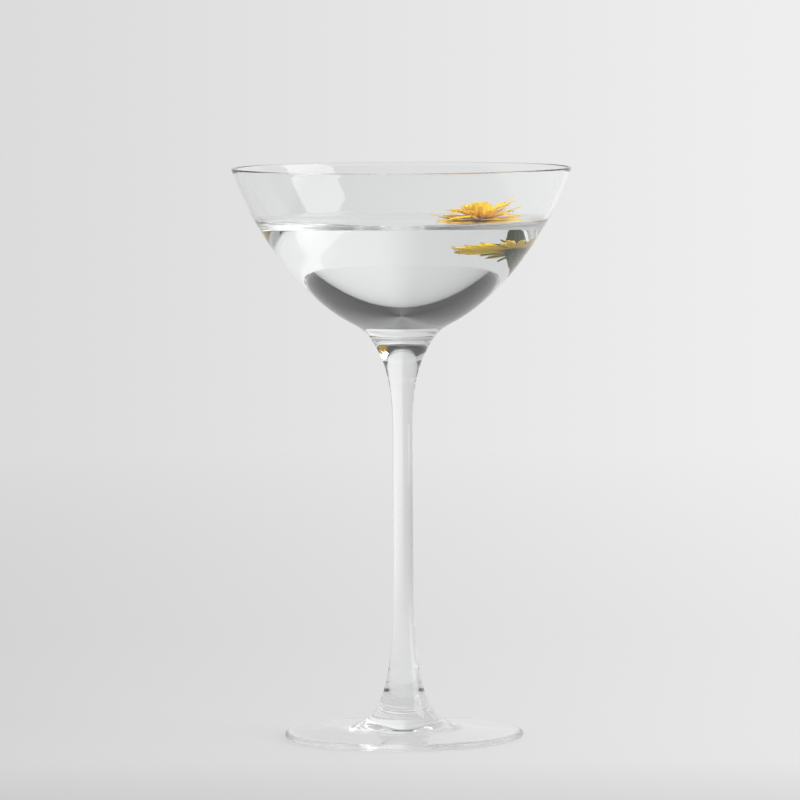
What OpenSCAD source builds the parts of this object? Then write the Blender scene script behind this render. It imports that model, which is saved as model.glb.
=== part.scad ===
// Stemmed cocktail glass: a wide curved bowl, a drawn stem and a thin foot.
// It holds a clear drink with one cut flower afloat in it.
// The origin is the middle of the foot, on the table, and +Z runs up the stem.

/* [Bowl] */
// Diameter across the rim
rim_d = 105; // [98:1:112]
// Height of the rim above the table
glass_h = 177; // [172:1:184]
// Depth of the bowl's outside, from the rim to its lowest point
bowl_depth = 52.25; // [50:0.25:55]
// Wall thickness at the rim
rim_wall = 1; // [0.8:0.1:1.4]
// Glass thickness in the middle of the bowl's floor
floor_wall = 2.6; // [2.2:0.1:3.2]

/* [Stem] */
// Diameter of the stem's straight waist
stem_d = 6.24; // [5.6:0.02:7.6]
// Diameter where the stem's top meets the bowl
stem_top_d = 19.2; // [18:0.1:20]
// Height where the waist starts
waist_low = 52; // [40:1:60]
// Height where the waist ends
waist_high = 95; // [88:1:98]

/* [Foot] */
// Diameter of the foot
foot_d = 74; // [70:1:80]
// Thickness of the foot's rounded edge
foot_edge = 2.2; // [1.8:0.1:2.6]
// Height where the foot meets the stem
foot_h = 9; // [8.5:0.1:10]
// Diameter where the foot meets the stem
foot_top_d = 17.7; // [17:0.1:19]
// Rise of the hollow under the foot
foot_kick = 2.2; // [1.6:0.1:2.4]

/* [Drink] */
// Distance from the rim down to the drink's level
fill_gap = 17.4; // [15:0.1:20]
// Climb of the drink's edge up the wall
meniscus_h = 1.8; // [1.2:0.1:2.2]

/* [Flower] */
// Distance of the flower to the right of the glass's axis
flower_x = 24.6; // [18:0.1:25]
// Distance of the flower behind the glass's axis
flower_y = 12; // [0:0.5:12]
// Spread of the longest rays
flower_d = 30; // [24:1:30]
// Diameter of the green cup under the rays
calyx_d = 8; // [6:0.2:8.4]
// Length of the green cup and the cut stalk below it
stem_stub = 9; // [7:0.5:9.5]

/* [Hidden] */
$fn = 96;
steps = 22;              // straight lengths in each free curve
run_gap = 0.1;           // clearance between the drink and the glass
pocket_gap = 0.2;        // clearance between the flower and the drink
rim_r = rim_d / 2;
bowl_z = glass_h - bowl_depth;
lip_z = glass_h - rim_wall / 2;
flank_in = 9.7;          // how far the bowl's side leans in, to its curve's second point
flank_up = 0.475;        // height of that point, as a share of the depth
belly = 0.2065;          // reach of the bowl's round bottom, as a share of the rim
seam_z = bowl_z - 0.95;  // where the stem is fused to the bowl
seam_pull = 2.8;         // reach of the fillet's ends
seam_slope = 57;         // slope of the glass at both seams, degrees
fillet_t = 0.765;        // place on the bowl's curve where the fillet starts
level = glass_h - fill_gap;
meniscus_w = 5;          // width over which the drink's edge climbs
stem_r = stem_d / 2;
head_rise = 14.6;        // length over which the waist turns into the flared head
head_flare = 8.8;        // reach of the head's slope, down from the seam
root_rise = 20;          // length over which the waist turns into the flared root
root_flare = 8.7;        // reach of the root's slope, up from the foot
foot_flare = 4.2;        // reach of the foot's slope, down from the root
foot_r = foot_d / 2;
ring_in = foot_r - 2.2;  // standing ring, inside
ring_out = foot_r - 1.2; // standing ring, outside
ray_t = 0.3;             // thickness of one ray
hub_r = 3;               // each whorl's own hub
hub_t = 0.7;
float_gap = 0.15;        // height of the lowest whorl over the drink
calyx_h = 5.5;
stalk_r = 1.3;

// A point at t on the curve with the four control points p.
function curve(p, t) = pow(1 - t, 3) * p[0] + 3 * t * pow(1 - t, 2) * p[1]
                     + 3 * t * t * (1 - t) * p[2] + t * t * t * p[3];
function course(p, t) = pow(1 - t, 2) * (p[1] - p[0]) + 2 * t * (1 - t) * (p[2] - p[1])
                      + t * t * (p[3] - p[2]);
function along(p, from = 0, to = 1) = [for (i = [0:steps]) curve(p, from + (to - from) * i / steps)];
// The last stretch of the curve, moved to its right by a gap.
function beside(p, gap, from) =
    [for (i = [0:steps]) let (t = from + (1 - from) * i / steps, c = course(p, t))
        curve(p, t) + gap / norm(c) * [c[1], -c[0]]];
// Where the falling curve p passes a height, found by halving.
function t_at(p, z, low = 0, high = 1, n = 24) = let (mid = (low + high) / 2)
    n == 0 ? mid : curve(p, mid)[1] > z ? t_at(p, z, mid, high, n - 1) : t_at(p, z, low, mid, n - 1);
function toward(angle, reach) = reach * [cos(angle), sin(angle)];

flank = [rim_r - flank_in, bowl_z + flank_up * bowl_depth];
bowl_out = [[rim_r, lip_z], flank, [belly * rim_d, bowl_z], [0, bowl_z]];
floor_z = bowl_z + floor_wall;
bowl_in = [[rim_r - rim_wall, lip_z], flank + [-1.1 * rim_wall, 0.1],
           [belly * rim_d - 0.3, floor_z], [0, floor_z]];
seam = [stem_top_d / 2, seam_z];
fillet_start = curve(bowl_out, fillet_t);
fillet_course = course(bowl_out, fillet_t);
seam_fillet = [fillet_start, fillet_start + seam_pull / norm(fillet_course) * fillet_course,
               seam + toward(seam_slope, seam_pull), seam];
upper_stem = [[stem_r, waist_high], [stem_r, waist_high + head_rise],
              seam - toward(seam_slope, head_flare), seam];
foot_seam = [foot_top_d / 2, foot_h];
lower_stem = [foot_seam, foot_seam + toward(180 - seam_slope, root_flare),
              [stem_r, waist_low - root_rise], [stem_r, waist_low]];
hollow = [[ring_in, 0], [foot_r - 13, 0.43 * foot_kick], [foot_r - 23, foot_kick], [0, foot_kick]];
foot_top = [foot_seam, foot_seam - toward(180 - seam_slope, foot_flare),
            [foot_r - 25, 4.1], [foot_r - 17, 3.45]];

module turned(outline) {
    rotate_extrude() polygon(outline);
}

// The bowl is blown: an even wall that thickens towards its floor, with a fire-polished lip.
module bowl() {
    lip_mid = [rim_r - rim_wall / 2, lip_z];
    lip = [for (a = [15:15:165]) lip_mid + toward(a, rim_wall / 2)];
    color("aliceblue", 0.4)
        turned(concat([[0, seam_z]], along(seam_fillet, 1, 0), along(bowl_out, 0.96 * fillet_t, 0),
                      lip, along(bowl_in)));
}

// The stem is drawn from the bowl: a flared head, a straight waist and a flared root.
module stem() {
    color("aliceblue", 0.5)
        turned(concat([[0, foot_h]], along(lower_stem), along(upper_stem), [[0, seam_z]]));
}

// The foot is a thin disc of even thickness. It has a rounded edge and stands on a narrow flat ring.
module foot() {
    edge_mid = [foot_r - foot_edge / 2, foot_edge / 2];
    edge = [for (a = [75:-15:-60]) edge_mid + toward(a, foot_edge / 2)];
    color("aliceblue", 0.5)
        turned(concat([[0, foot_h]], along(foot_top), edge, [[ring_out, 0]], along(hollow)));
}

// The drink fills the bowl. Its edge climbs the wall, and it gives way to the flower's stalk and cup.
module drink() {
    wall_t = t_at(bowl_in, level + meniscus_h);
    wall = beside(bowl_in, run_gap, wall_t);
    top = wall[0];
    edge = [[top[0] - meniscus_w, level], [top[0] - meniscus_w / 2, level],
            top - [0.9, 1.3], top];
    color("lightcyan", 0.5)
        difference() {
            turned(concat([[0, level]], along(edge), [for (i = [1:steps]) wall[i]]));
            at_flower() {
                translate([0, 0, -calyx_h - pocket_gap])
                    cylinder(h = calyx_h + 1, r1 = calyx_d / 2 + pocket_gap,
                             r2 = calyx_d / 2 + 2 * pocket_gap);
                translate([0, 0, -stem_stub - pocket_gap])
                    cylinder(h = stem_stub, r1 = stalk_r + pocket_gap, r2 = stalk_r + 2 * pocket_gap);
            }
        }
}

module at_flower() {
    translate([flower_x, flower_y, level]) children();
}

// The stalk is cut short, so only a stub hangs in the drink.
module flower_stalk() {
    color("olivedrab")
        at_flower() translate([0, 0, -stem_stub])
            cylinder(h = stem_stub - calyx_h, r1 = stalk_r, r2 = stalk_r + 0.1);
}

// The calyx is the fleshy green cup that holds the rays.
module flower_calyx() {
    bell = [[stalk_r + 0.1, -calyx_h], [0.4 * calyx_d, 0.3 - calyx_h],
            [0.26 * calyx_d, -2], [calyx_d / 2, float_gap]];
    color("darkgreen")
        at_flower() turned(concat([[0, -calyx_h]], along(bell), [[0, float_gap]]));
}

// One strap-shaped ray: narrow where it grows, widest past its middle, with a round tip.
function ray_outline(reach, width) =
    let (half = [for (i = [0:10]) let (t = i / 10)
                    [reach * t, width / 2 * (0.3 * (1 - t) + sin(180 * pow(t, 1.6)))]])
    concat(half, [for (i = [10:-1:0]) [half[i][0], -half[i][1] - (i == 10 ? 0.05 : 0)]]);

// A whorl: rays at even spacing round a thin hub, all lifted by the same angle.
module whorl(count, reach, width, lift, layer) {
    start = hub_r - 0.6;
    at_flower() translate([0, 0, float_gap + layer * hub_t]) {
        cylinder(h = hub_t, r = hub_r);
        for (i = [0:count - 1])
            rotate([0, 0, 360 * (i + 0.5 * layer) / count])
                translate([start, 0, 0.2]) rotate([0, -lift, 0])
                    linear_extrude(ray_t) polygon(ray_outline(reach - start, width));
    }
}

module outer_rays() {
    color("gold") whorl(16, flower_d / 2, 2.6, 0, 0);
}

module middle_rays() {
    color("goldenrod") whorl(14, 0.87 * flower_d / 2, 2.4, 14, 1);
}

module inner_rays() {
    color("orange") whorl(13, 0.46 * flower_d / 2, 1.5, 60, 2);
}

// The disc is the raised cushion of young florets in the middle.
module flower_disc() {
    crown = [[2.2, 0], [2.2, 2], [1.4, 3], [0, 3.2]];
    color("darkorange")
        at_flower() translate([0, 0, float_gap + 3 * hub_t])
            turned(concat([[0, 0]], along(crown)));
}

bowl();
stem();
foot();
drink();
flower_stalk();
flower_calyx();
outer_rays();
middle_rays();
inner_rays();
flower_disc();
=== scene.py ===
import math
import random

import bmesh
import bpy
from mathutils import Matrix, Vector


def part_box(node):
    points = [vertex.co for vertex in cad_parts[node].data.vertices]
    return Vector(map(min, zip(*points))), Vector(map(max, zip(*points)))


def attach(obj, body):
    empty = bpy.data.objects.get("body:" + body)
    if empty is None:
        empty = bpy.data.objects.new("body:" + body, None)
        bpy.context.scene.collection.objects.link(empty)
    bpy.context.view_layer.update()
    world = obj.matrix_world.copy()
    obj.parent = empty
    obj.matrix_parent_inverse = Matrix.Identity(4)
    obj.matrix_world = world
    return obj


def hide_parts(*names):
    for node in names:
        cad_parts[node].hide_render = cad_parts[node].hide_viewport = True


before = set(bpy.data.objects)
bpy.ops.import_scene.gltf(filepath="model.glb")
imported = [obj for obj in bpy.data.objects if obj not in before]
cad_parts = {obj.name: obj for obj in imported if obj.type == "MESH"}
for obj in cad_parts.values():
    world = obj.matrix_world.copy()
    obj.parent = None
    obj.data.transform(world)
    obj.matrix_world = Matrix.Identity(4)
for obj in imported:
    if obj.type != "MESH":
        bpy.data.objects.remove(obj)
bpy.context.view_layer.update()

# ---------------------------------------------------------------- the view
# A long lens, two metres in front of the glass and a hand's width above its rim.
scene = bpy.context.scene
lens = bpy.data.cameras.new("view")
lens.sensor_width = 36
lens.lens = 280
lens.clip_end = 50
view = bpy.data.objects.new("view", lens)
view.location = (0, -1.922, 0.245)
view.rotation_euler = (math.radians(90 - 4.167), math.radians(0.307), 0)
scene.collection.objects.link(view)
scene.camera = view

# ---------------------------------------------------------------- bowl
# The bowl is blown clear glass. Its wall is a millimetre at the fire-polished lip and swells to
# a thick floor, which is fused to the stem's head. Below the drink's edge its inside is wet.
mm = 0.001
bowl_low, bowl_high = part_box("bowl")
drink_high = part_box("drink")[1]
rim_r, rim_z = bowl_high.x, bowl_high.z
seam_z = bowl_low.z
neck_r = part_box("stem")[1].x
wall = 1 * mm
floor_wall = 2.6 * mm
wet_z = drink_high.z
bowl_z = seam_z + 0.95 * mm
lip_z = rim_z - wall / 2
seam_slope = math.radians(57)
flank = Vector((rim_r - 9.7 * mm, bowl_z + 0.475 * (rim_z - bowl_z)))
belly_r = 0.413 * rim_r
bowl_outside = [Vector((rim_r, lip_z)), flank, Vector((belly_r, bowl_z)), Vector((0, bowl_z))]
bowl_inside = [Vector((rim_r - wall, lip_z)), flank + Vector((-1.1 * wall, 0.1 * mm)),
               Vector((belly_r - 0.3 * mm, bowl_z + floor_wall)), Vector((0, bowl_z + floor_wall))]
ROUND = 224          # faces round each turned piece
FILLET_T = 0.765     # where the bowl's outside starts to sweep down into the stem
WELD = 0.0005 * mm   # corners closer than this are one


def curve(pulls, t):
    a, b, c, d = pulls
    return (1 - t) ** 3 * a + 3 * t * (1 - t) ** 2 * b + 3 * t * t * (1 - t) * c + t ** 3 * d


def along(pulls, start=0.0, end=1.0, count=40):
    return [curve(pulls, start + (end - start) * i / count) for i in range(count + 1)]


def toward(angle, reach):
    return reach * Vector((math.cos(angle), math.sin(angle)))


def t_at(pulls, height):
    """Where a falling curve passes a height, found by halving."""
    low, high = 0.0, 1.0
    for _ in range(40):
        middle = (low + high) / 2
        low, high = (middle, high) if curve(pulls, middle)[1] > height else (low, middle)
    return low


def turn(bm, outline, finish):
    """Spins an outline of (radius, height) points into a skin with one of the piece's finishes."""
    skin = bmesh.new()
    verts = [skin.verts.new((radius, 0, height)) for radius, height in outline]
    edges = [skin.edges.new(pair) for pair in zip(verts, verts[1:])]
    bmesh.ops.spin(skin, geom=verts + edges, cent=(0, 0, 0), axis=(0, 0, 1), dvec=(0, 0, 0),
                   angle=math.pi / 2, steps=ROUND // 4, use_merge=False, use_duplicate=False)
    for axis in "XY":
        everything = skin.verts[:] + skin.edges[:] + skin.faces[:]
        bmesh.ops.mirror(skin, geom=everything, axis=axis, merge_dist=WELD)
    for face in skin.faces:
        face.material_index = finish
    carrier = bpy.data.meshes.new("skin")
    skin.to_mesh(carrier)
    skin.free()
    bm.from_mesh(carrier)
    bpy.data.meshes.remove(carrier)


def close(bm, sharp_finishes=()):
    """Joins the skins of a piece, points its faces outwards and keeps the edges of some finishes crisp."""
    bmesh.ops.remove_doubles(bm, verts=bm.verts, dist=WELD)
    bmesh.ops.recalc_face_normals(bm, faces=bm.faces)
    for edge in bm.edges:
        kinds = {face.material_index for face in edge.link_faces}
        if len(kinds) > 1 and kinds & set(sharp_finishes):
            edge.smooth = False


def piece(name, bm, finishes, body, nodes):
    """Makes the mesh a piece that rides on a body and stands for CAD nodes."""
    mesh = bpy.data.meshes.new(name)
    for face in bm.faces:
        face.smooth = True
    bm.to_mesh(mesh)
    bm.free()
    for finish in finishes:
        mesh.materials.append(finish)
    made = bpy.data.objects.new(name, mesh)
    scene.collection.objects.link(made)
    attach(made, body)
    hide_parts(*nodes)
    return made


class Value:
    """A socket's value. Arithmetic on it adds Math nodes to its recipe."""

    def __init__(self, recipe, socket):
        self.recipe, self.socket = recipe, socket

    def math(self, operation, *values):
        return self.recipe.add("ShaderNodeMath", {"operation": operation}, dict(enumerate(values)))

    def __add__(self, other):
        return self.math("ADD", self, other)

    def __sub__(self, other):
        return self.math("SUBTRACT", self, other)

    def __rsub__(self, other):
        return self.math("SUBTRACT", other, self)

    def __mul__(self, other):
        return self.math("MULTIPLY", self, other)

    def __truediv__(self, other):
        return self.math("DIVIDE", self, other)

    def clamped(self):
        return self.math("MAXIMUM", self.math("MINIMUM", self, 1.0), 0.0)

    __radd__ = __add__
    __rmul__ = __mul__


class Recipe:
    """The nodes of one finish, or of the sky."""

    def __init__(self, owner):
        owner.use_nodes = True
        self.owner, self.tree = owner, owner.node_tree
        self.tree.nodes.clear()

    def add(self, kind, settings=None, values=None, out=0):
        """Adds a node, with its settings first and then its sockets' values or links."""
        node = self.tree.nodes.new(kind)
        for key, setting in (settings or {}).items():
            if key == "stops":
                ramp = node.color_ramp
                while len(ramp.elements) < len(setting):
                    ramp.elements.new(0.5)
                for element, (place, colour) in zip(ramp.elements, setting):
                    element.position, element.color = place, (*colour, 1)
            else:
                setattr(node, key, setting)
        for key, value in (values or {}).items():
            if isinstance(value, Value):
                self.tree.links.new(value.socket, node.inputs[key])
            else:
                node.inputs[key].default_value = value
        return Value(self, node.outputs[out]) if node.outputs else node


def finish_of(name, make):
    """A material whose surface is what make(recipe) returns."""
    material = bpy.data.materials.new(name)
    recipe = Recipe(material)
    recipe.add("ShaderNodeOutputMaterial", {}, {"Surface": make(recipe)})
    return material


def clear_finish(name, ior, tint=(1, 1, 1, 1)):
    """A clear skin between two media whose indices have the ratio ior."""
    return finish_of(name, lambda recipe: recipe.add("ShaderNodeBsdfPrincipled", {}, {
        "Base Color": tint, "Roughness": 0.0, "IOR": ior, "Transmission Weight": 1.0}))


GLASS_IOR = 1.5
DRINK_IOR = 1.333
glass_tint = (0.985, 0.99, 0.99, 1)
dry_glass = clear_finish("clear_glass", GLASS_IOR, glass_tint)
wet_glass = clear_finish("wet_glass", GLASS_IOR / DRINK_IOR, glass_tint)
fused = finish_of("fused_joint", lambda recipe: recipe.add("ShaderNodeBsdfTransparent"))

fillet_start = curve(bowl_outside, FILLET_T)
fillet_course = (fillet_start - curve(bowl_outside, FILLET_T - 0.01)).normalized()
seam = Vector((neck_r, seam_z))
seam_pull = 2.8 * mm
seam_fillet = [fillet_start, fillet_start + seam_pull * fillet_course,
               seam + toward(seam_slope, seam_pull), seam]
lip_middle = Vector((rim_r - wall / 2, lip_z))
lip = [lip_middle + toward(math.pi * i / 12, wall / 2) for i in range(13)]
wet_t = t_at(bowl_inside, wet_z)

bm = bmesh.new()
turn(bm, along(bowl_outside, FILLET_T, 0, 56) + lip[1:-1] + along(bowl_inside, 0, wet_t, 20), 0)
turn(bm, along(bowl_inside, wet_t, 1, 48), 1)
turn(bm, along(seam_fillet, 0, 1, 14), 0)
turn(bm, [seam, Vector((0, seam_z))], 2)
close(bm, (2,))
piece("bowl", bm, (dry_glass, wet_glass, fused), "glass", ["bowl"])

# ---------------------------------------------------------------- stem
# The stem is drawn from the bowl's hot floor: a flared head, a straight waist of 6 mm and a
# flared root. It is solid clear glass and goes into the bowl and the foot without a break.
foot_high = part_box("foot")[1]
foot_seam_z = foot_high.z
foot_r = foot_high.x
waist_r = 3.12 * mm
waist_low, waist_high = 52 * mm, 95 * mm
head_rise, head_flare = 14.6 * mm, 8.8 * mm
root_rise, root_flare = 20 * mm, 8.7 * mm
root = Vector((8.85 * mm, foot_seam_z))
stem_head = [Vector((waist_r, waist_high)), Vector((waist_r, waist_high + head_rise)),
             seam - toward(seam_slope, head_flare), seam]
stem_root = [root, root + toward(math.pi - seam_slope, root_flare),
             Vector((waist_r, waist_low - root_rise)), Vector((waist_r, waist_low))]

bm = bmesh.new()
turn(bm, along(stem_root) + along(stem_head), 0)
turn(bm, [Vector((0, seam_z)), seam], 1)
turn(bm, [root, Vector((0, foot_seam_z))], 1)
close(bm, (1,))
piece("stem", bm, (dry_glass, fused), "glass", ["stem"])

# ---------------------------------------------------------------- foot
# The foot is a thin disc of clear glass of even thickness, spun from a separate gather. It has a
# rounded edge and stands on a narrow flat ring.
edge_r = 1.1 * mm
kick = 2.2 * mm
foot_flare = 4.2 * mm
foot_top = [root, root - toward(math.pi - seam_slope, foot_flare), Vector((foot_r - 25 * mm, 4.1 * mm)),
            Vector((foot_r - 17 * mm, 3.45 * mm))]
edge_middle = Vector((foot_r - edge_r, edge_r))
edge = [edge_middle + toward(math.radians(80 - 10 * i), edge_r) for i in range(15)]
brim = [foot_top[-1].lerp(edge[0], share) for share in (0.2, 0.4, 0.6, 0.8, 0.985)]
ring_out, ring_in = foot_r - 1.2 * mm, foot_r - 2.2 * mm
ring = [Vector((ring_out, 0)), Vector((ring_out - 0.05 * mm, 0)), Vector((ring_in + 0.05 * mm, 0))]
hollow = [Vector((ring_in, 0)), Vector((foot_r - 13 * mm, 0.43 * kick)), Vector((foot_r - 23 * mm, kick)),
          Vector((0, kick))]

bm = bmesh.new()
turn(bm, along(foot_top) + brim + edge + ring + along(hollow), 0)
turn(bm, [root, Vector((0, foot_seam_z))], 1)
close(bm, (1,))
piece("foot", bm, (dry_glass, fused), "glass", ["foot"])

# ---------------------------------------------------------------- drink
# The drink is clear and still. Its surface is flat but for the edge, which climbs the wall.
level = 159.6 * mm
edge_w = 5 * mm
contact = curve(bowl_inside, wet_t) + Vector((0.01 * mm, 0))
climb = [Vector((contact[0] - edge_w, level)), Vector((contact[0] - edge_w / 2, level)),
         contact - Vector((0.9 * mm, 1.3 * mm)), contact]
drink_top = clear_finish("drink_surface", DRINK_IOR)
run_gap = 0.1 * mm


def run_in(point):
    """A point of the bowl's inside, moved into the drink by the running gap."""
    return Vector((max(0.0, point[0] - run_gap), point[1] + run_gap))


bm = bmesh.new()
turn(bm, [Vector((0, level)), Vector(((contact[0] - edge_w) / 2, level))] + along(climb, 0, 1, 24), 0)
turn(bm, [contact] + [run_in(point) for point in along(bowl_inside, wet_t, 1, 24)[1:]], 1)
close(bm, (1,))
piece("drink", bm, (drink_top, fused), "drink", ["drink"])

# ---------------------------------------------------------------- flower stalk
# The stalk is cut just under the flower, so only a stub of fleshy green tube hangs in the drink.
stalk_low, stalk_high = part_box("flower_stalk")
calyx_low, calyx_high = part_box("flower_calyx")
heart = (stalk_low + stalk_high) / 2
stalk_r = (stalk_high.x - stalk_low.x) / 2
afloat = Matrix.Translation((heart.x, heart.y, 0))


def green(name, light, dark, scale):
    """Green plant skin with streaks that run up it."""

    def make(recipe):
        place = recipe.add("ShaderNodeTexCoord", {}, {}, "Object")
        streaks = recipe.add("ShaderNodeMapping", {}, {"Vector": place, "Scale": (scale, scale, scale / 5)})
        streak = recipe.add("ShaderNodeTexNoise", {}, {"Vector": streaks, "Scale": 1.0, "Detail": 3.0})
        blotch = recipe.add("ShaderNodeTexNoise", {}, {
            "Vector": place, "Scale": scale / 4, "Detail": 2.0})
        amount = ((streak + blotch - 0.75) * 2.2).clamped()
        colour = recipe.add("ShaderNodeMix", {"data_type": "RGBA"}, {0: amount, 6: dark, 7: light}, 2)
        bump = recipe.add("ShaderNodeBump", {}, {"Height": streak, "Distance": 0.1 * mm, "Strength": 0.6})
        return recipe.add("ShaderNodeBsdfPrincipled", {}, {
            "Base Color": colour, "Roughness": 0.5 + 0.2 * streak, "Normal": bump,
            "Specular IOR Level": 0.35})

    return finish_of(name, make)


green_skin = green("green_skin", (0.10, 0.17, 0.04, 1), (0.02, 0.05, 0.015, 1), 1800)

bm = bmesh.new()
pith_r = 0.55 * stalk_r
pith_z = stalk_low.z + 2 * mm
turn(bm, [Vector((pith_r, pith_z)), Vector((pith_r, stalk_low.z)),
          Vector((0.93 * stalk_r, stalk_low.z)), Vector((stalk_r, stalk_low.z + 0.1 * mm)),
          Vector((0.92 * stalk_r, heart.z)), Vector((stalk_r, stalk_high.z))], 0)
turn(bm, [Vector((0, pith_z)), Vector((pith_r, pith_z))], 0)
turn(bm, [Vector((stalk_r, stalk_high.z)), Vector((0, stalk_high.z))], 0)
close(bm)
bmesh.ops.transform(bm, matrix=afloat, verts=bm.verts)
stalk = piece("flower_stalk", bm, (green_skin,), "flower", ["flower_stalk"])

# ---------------------------------------------------------------- flower calyx
# The calyx is a fleshy cup. Narrow pointed green leaves stand close round it, and a ring of
# bracts spreads out below the rays.
calyx_r = (calyx_high.x - calyx_low.x) / 2
calyx_z = calyx_low.z
LEAVES, BRACTS = 13, 9
dice = random.Random(5)


def strap(bm, place, reach, width, lift, curl, cup=0.15, point=0.0, rows=10, tooth=0.03):
    """A thin leaf or ray: narrow at its root, cupped across and curling along its length."""
    grid = bmesh.ops.create_grid(bm, x_segments=rows, y_segments=4, size=0.5)["verts"]
    for vert in grid:
        u, v = vert.co.x + 0.5, 2 * vert.co.y
        shape = (0.32 + 0.68 * math.sin(math.pi * min(u, 0.62) / 1.24)) * (1 - point * u)
        tip = max(0.0, (u - 0.86) / 0.14)
        half = width / 2 * shape * math.sqrt(max(0.0, 1 - 0.8 * tip ** 2))
        run = u * (1 - tooth * tip * (1 + math.cos(2 * math.pi * v)))
        bend = lift + curl * run / 2
        vert[bm.verts.layers.float["along"]] = u
        vert[bm.verts.layers.float["across"]] = v
        trough = cup * width * (v * v - 0.5) * math.sin(math.pi * u)
        vert.co = Vector((reach * run * math.cos(bend), half * v, reach * run * math.sin(bend) + trough))
    bmesh.ops.transform(bm, matrix=place, verts=grid)


def thicken(bm, thickness):
    """Gives thin straps their thickness, so that each is a closed solid."""
    bmesh.ops.solidify(bm, geom=bm.faces[:] + bm.edges[:] + bm.verts[:], thickness=thickness)
    bmesh.ops.recalc_face_normals(bm, faces=bm.faces)


def whorl_place(angle, radius, height):
    """A root on a ring round the flower's middle, facing outwards."""
    faced = Matrix.Rotation(angle, 4, "Z") @ Matrix.Translation((radius, 0, 0))
    return afloat @ Matrix.Translation((0, 0, height)) @ faced


def start_straps():
    bm = bmesh.new()
    bm.verts.layers.float.new("along")
    bm.verts.layers.float.new("across")
    return bm


bm = start_straps()
cup = [Vector((0.3 * calyx_r, calyx_z)), Vector((0.62 * calyx_r, calyx_z + 0.2 * mm)),
       Vector((0.36 * calyx_r, calyx_high.z - 2 * mm)), Vector((0.75 * calyx_r, calyx_high.z))]
for leaf in range(LEAVES):
    around = 2 * math.pi * leaf / LEAVES
    strap(bm, whorl_place(around, 0.38 * calyx_r, calyx_z + 0.1 * mm), 4.8 * mm * dice.uniform(0.9, 1.05),
          1.1 * mm, math.radians(84), math.radians(-16), 0.1, 0.7, 8, 0)
for leaf in range(BRACTS):
    around = 2 * math.pi * (leaf + dice.uniform(0, 0.5)) / BRACTS
    strap(bm, whorl_place(around, 0.7 * calyx_r, calyx_high.z - 1.5 * mm), 6 * mm * dice.uniform(0.8, 1.1),
          0.9 * mm, math.radians(dice.uniform(-8, 4)), math.radians(-14), 0.1, 0.7, 8, 0)
thicken(bm, 0.2 * mm)
turn(bm, [Vector((0, calyx_z))] + along(cup, 0, 1, 10) + [Vector((0, calyx_high.z))], 0)
bmesh.ops.transform(bm, matrix=afloat, verts=[v for v in bm.verts if v.co.xy.length < 1.02 * calyx_r])
close(bm)
calyx = piece("flower_calyx", bm, (green_skin,), "flower", ["flower_calyx"])

# ---------------------------------------------------------------- rays
# Three whorls of long narrow yellow rays. The lowest lies on the drink, the next is lifted, and
# the inner ones stand up and curl over the middle. Fine veins run along each ray.


def petal_finish(name, tip, root_and_shade_colour, root_end):
    """Yellow petal skin, deeper amber towards its root, partly its own colour and partly painted shade
    where the rays crowd at the heart, with fine veins along it.
    """

    def make(recipe):
        u = recipe.add("ShaderNodeAttribute", {"attribute_name": "along"}, {}, "Fac")
        v = recipe.add("ShaderNodeAttribute", {"attribute_name": "across"}, {}, "Fac")
        place = recipe.add("ShaderNodeTexCoord", {}, {}, "Object")
        mottle = recipe.add("ShaderNodeTexNoise", {}, {"Vector": place, "Scale": 700.0, "Detail": 2.0})
        ripple = v * 14.0 + mottle * 1.5
        vein = ripple.math("SINE", ripple)
        # Painted shade: the amber towards the root is partly the ray's own colour and partly shade painted
        # in where the rays crowd together.
        root_depth_and_shade = ((root_end - u) / root_end + (mottle - 0.5) * 0.7 + vein * 0.06).clamped()
        colour = recipe.add("ShaderNodeMix", {"data_type": "RGBA"}, {0: root_depth_and_shade, 6: tip, 7: root_and_shade_colour}, 2)
        bump = recipe.add("ShaderNodeBump", {}, {"Height": vein, "Distance": 0.03 * mm, "Strength": 0.5})
        return recipe.add("ShaderNodeBsdfPrincipled", {}, {
            "Base Color": colour, "Roughness": 0.45 + 0.15 * mottle, "Normal": bump,
            "Specular IOR Level": 0.4, "Subsurface Weight": 0.25,
            "Subsurface Radius": (1.0, 0.6, 0.1), "Subsurface Scale": 0.6 * mm})

    return finish_of(name, make)


yellow = (1.0, 0.66, 0.01, 1)
# The root colour: partly the flower's own amber and partly painted shade.
amber_and_painted_shade = (0.85, 0.33, 0.006, 1)
ray_skin = petal_finish("yellow_ray", yellow, amber_and_painted_shade, 0.3)
inner_skin = petal_finish("amber_shaded_ray", yellow, amber_and_painted_shade, 0.55)
LEAN = 0.22          # how much more the rays on the right are lifted than those on the left


def ray(bm, angle, radius, height, reach, width, lift, curl):
    """One ray of a ring. Sizes are in millimetres over the drink, and angles in degrees."""
    strap(bm, whorl_place(math.radians(angle), radius * mm, level + height * mm)
          @ Matrix.Rotation(math.radians(dice.uniform(-1, 1) * min(14, lift)), 4, "X"),
          reach * mm, width * mm, math.radians(lift), math.radians(curl), dice.uniform(0.05, 0.14))


def rays(name, node, rings, skin, thickness, strays=()):
    """One piece of several rings of rays, and the few that stray out of them."""
    bm = start_straps()
    for count, radius, height, reach, width, lift, curl, spread in rings:
        start = dice.uniform(0, 1)
        for i in range(count):
            angle = 360 * (i + start + dice.uniform(-0.25, 0.25)) / count
            ray(bm, angle, radius, height,
                reach * dice.uniform(0.85, 1.04), width * dice.uniform(0.85, 1.1),
                lift * (1 + LEAN * math.cos(math.radians(angle))) + dice.uniform(-spread, spread),
                curl + 2 * dice.uniform(-spread, spread))
    for angle, reach, lift, curl in strays:
        ray(bm, angle, 1.8, 0.8, reach, 1.3, lift, curl)
    thicken(bm, thickness * mm)
    return piece(name, bm, (skin,), "flower", [node])


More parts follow.
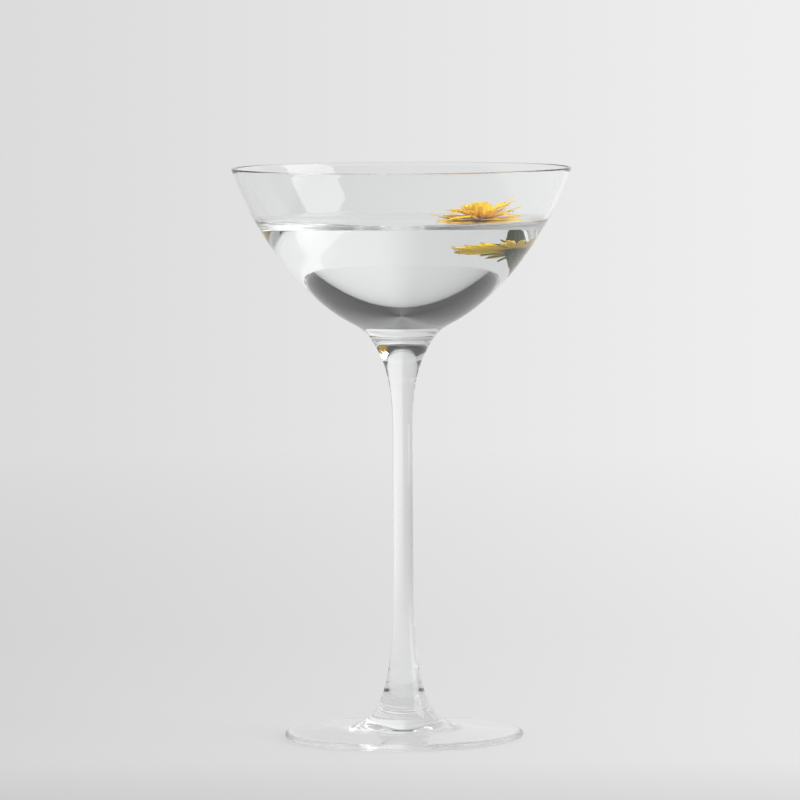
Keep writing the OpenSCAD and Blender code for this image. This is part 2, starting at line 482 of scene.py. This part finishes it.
outer_rays = rays("outer_rays", "outer_rays", [
    (17, 1.8, 0.0, 13.4, 1.5, 0, 0, 0.25), (23, 2.0, -0.1, 11.8, 1.3, 0, 0, 0.3),
    (17, 1.7, 0.4, 12.2, 1.4, 7, -3, 3)], ray_skin, 0.2)
middle_rays = rays("middle_rays", "middle_rays", [
    (17, 1.9, 0.9, 10.2, 1.4, 20, -16, 5), (15, 2.2, 1.3, 8.4, 1.3, 40, -34, 6)], ray_skin, 0.14,
    [(10, 11.3, 37, 4), (-8, 12.4, 17, 5), (24, 11.6, 26, 6), (178, 14.0, 5, 2), (-34, 11.8, 4, 0),
     (170, 9.8, 30, -26), (192, 9.2, 35, -32), (150, 9.4, 33, -30), (208, 8.8, 36, -30)])
inner_rays = rays("inner_rays", "inner_rays", [
    (26, 3.9, 1.2, 4.7, 1.1, 80, 2, 4), (18, 2.4, 1.5, 4.4, 1.0, 84, 4, 4)], inner_skin, 0.14)

# ---------------------------------------------------------------- flower disc
# The disc is a cushion of young florets, packed in spirals, each a small blunt amber bud.
disc_low, disc_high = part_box("flower_disc")
disc_r = (disc_high.x - disc_low.x) / 2
FLORETS = 55
GOLDEN = math.pi * (3 - math.sqrt(5))

bm = start_straps()
for i in range(FLORETS):
    out = disc_r * math.sqrt((i + 0.5) / FLORETS)
    place = whorl_place(i * GOLDEN, out, disc_low.z + 0.4 * mm)
    strap(bm, place, 3.4 * mm * dice.uniform(0.85, 1.05), 0.7 * mm,
          math.radians(88 - 12 * out / disc_r), math.radians(10), 0.2, 0.0, 6)
thicken(bm, 0.15 * mm)
disc = piece("flower_disc", bm, (inner_skin,), "flower", ["flower_disc"])

# ---------------------------------------------------------------- floor and light
# A pale floor that fades into a pale backdrop. The floor glows with painted light of its own, brighter to
# the right towards the window and dimmer towards the front, on top of its matte grey, which weakens shadows
# on it. The backdrop stands behind the glass and reaches well overhead in a dim room. A large soft window
# is on the right, and a soft lamp fills the flower.


def grey(value):
    return (value, value, value, 1)


floor_mesh = bpy.data.meshes.new("floor")
bm = bmesh.new()
under = Matrix.Translation((0, 0, -0.02 * mm))     # a hair under the foot, so that the two never coincide
bmesh.ops.create_circle(bm, cap_ends=True, segments=96, radius=1.2, matrix=under)
bm.to_mesh(floor_mesh)
bm.free()
floor = bpy.data.objects.new("floor", floor_mesh)
scene.collection.objects.link(floor)


def floor_make(recipe):
    place = recipe.add("ShaderNodeTexCoord", {}, {}, "Object")
    out = recipe.add("ShaderNodeVectorMath", {"operation": "LENGTH"}, {0: place}, "Value")
    split = recipe.add("ShaderNodeSeparateXYZ", {}, {0: place}).socket.node
    right, back = (Value(recipe, socket) for socket in split.outputs[:2])
    front = (0.0 - back - 0.06).clamped()
    # Painted floor light: the floor gives off light of itself, brighter to the right where the window's
    # light falls and dimmer towards the front.
    painted_floor_light = (0.52 + 0.45 * right) * (1.0 - 1.6 * front)
    lit = recipe.add("ShaderNodeEmission", {}, {"Color": painted_floor_light, "Strength": 1.0})
    matte = recipe.add("ShaderNodeBsdfDiffuse", {}, {"Color": grey(0.45)})
    pale = recipe.add("ShaderNodeAddShader", {}, {0: lit, 1: matte})
    gone = recipe.add("ShaderNodeBsdfTransparent")
    fade = ((out - 0.3) / 0.8).clamped()
    return recipe.add("ShaderNodeMixShader", {}, {0: fade, 1: pale, 2: gone})


floor_mesh.materials.append(finish_of("floor", floor_make))

world = bpy.data.worlds.new("surround")
scene.world = world
sky = Recipe(world)
course = sky.add("ShaderNodeTexCoord", {}, {}, "Generated")
split = sky.add("ShaderNodeSeparateXYZ", {}, {0: course}).socket.node
east, north, up = (Value(sky, socket) for socket in split.outputs)
turned = east.math("ARCTAN2", east, north) / (2 * math.pi) + 0.5


def tones(stops):
    """A ramp of grey values round the compass, by bearing: 0 is behind the glass and 90 is right."""
    return sky.add("ShaderNodeValToRGB", {"stops": [
        (degrees / 360 + 0.5, grey(value)[:3]) for degrees, value in stops]}, {0: turned})


pale_side = tones([(-180, 0.50), (-110, 0.52), (-42, 0.60), (-3.7, 0.708), (3.7, 0.863), (20, 0.91),
                   (60, 0.98), (66, 0.66), (180, 0.50)])
dim_room = tones([(-180, 0.16), (-100, 0.05), (-82, 0.09), (-66, 0.17), (-52, 0.29), (0, 0.22), (37, 0.30),
                  (66, 0.22), (90, 0.08), (110, 0.06), (180, 0.16)])
ahead = north.math("MAXIMUM", north, 0.001)
sideways = east.math("ABSOLUTE", east) / ahead
overhead = up / ahead
backdrop = ((0.95 - sideways) / 0.05).clamped() * ((2.45 - overhead) / 0.2).clamped()
wainscot = ((0.56 - up) / 0.06).clamped()
lit = backdrop.math("MAXIMUM", backdrop, wainscot)
shade = sky.add("ShaderNodeMix", {"data_type": "RGBA"}, {0: lit, 6: dim_room, 7: pale_side}, 2)
sky.add("ShaderNodeOutputWorld", {}, {"Surface": sky.add("ShaderNodeBackground", {}, {0: shade, 1: 1.0})})


def soft_light(name, place, size, radiance):
    """A soft rectangular light that faces the bowl, of a given radiance."""
    lamp = bpy.data.lights.new(name, "AREA")
    lamp.shape = "RECTANGLE"
    lamp.size, lamp.size_y = size
    lamp.energy = radiance * math.pi * size[0] * size[1]
    light = bpy.data.objects.new(name, lamp)
    light.location = place
    light.rotation_euler = (Vector((0, 0, 0.16)) - light.location).to_track_quat("-Z", "Y").to_euler()
    scene.collection.objects.link(light)
    return light


soft_light("window", (1.37, -0.32, 0.68), (0.95, 1.6), 1.8)
fill = soft_light("fill", (0.35, -0.75, 1.25), (0.9, 0.9), 9)
fill.visible_camera = fill.visible_glossy = fill.visible_transmission = False
petals = bpy.data.collections.new("petals")
for part in (stalk, calyx, outer_rays, middle_rays, inner_rays, disc):
    petals.objects.link(part)
fill.light_linking.receiver_collection = petals
fill.light_linking.blocker_collection = petals

# Light bounces many times inside the thin foot and at the drink's edge, mostly by total reflection.
LIGHT_BOUNCES = 48
scene.view_settings.view_transform = "Standard"
scene.cycles.max_bounces = LIGHT_BOUNCES
scene.cycles.glossy_bounces = LIGHT_BOUNCES
scene.cycles.transmission_bounces = LIGHT_BOUNCES
scene.cycles.transparent_max_bounces = LIGHT_BOUNCES
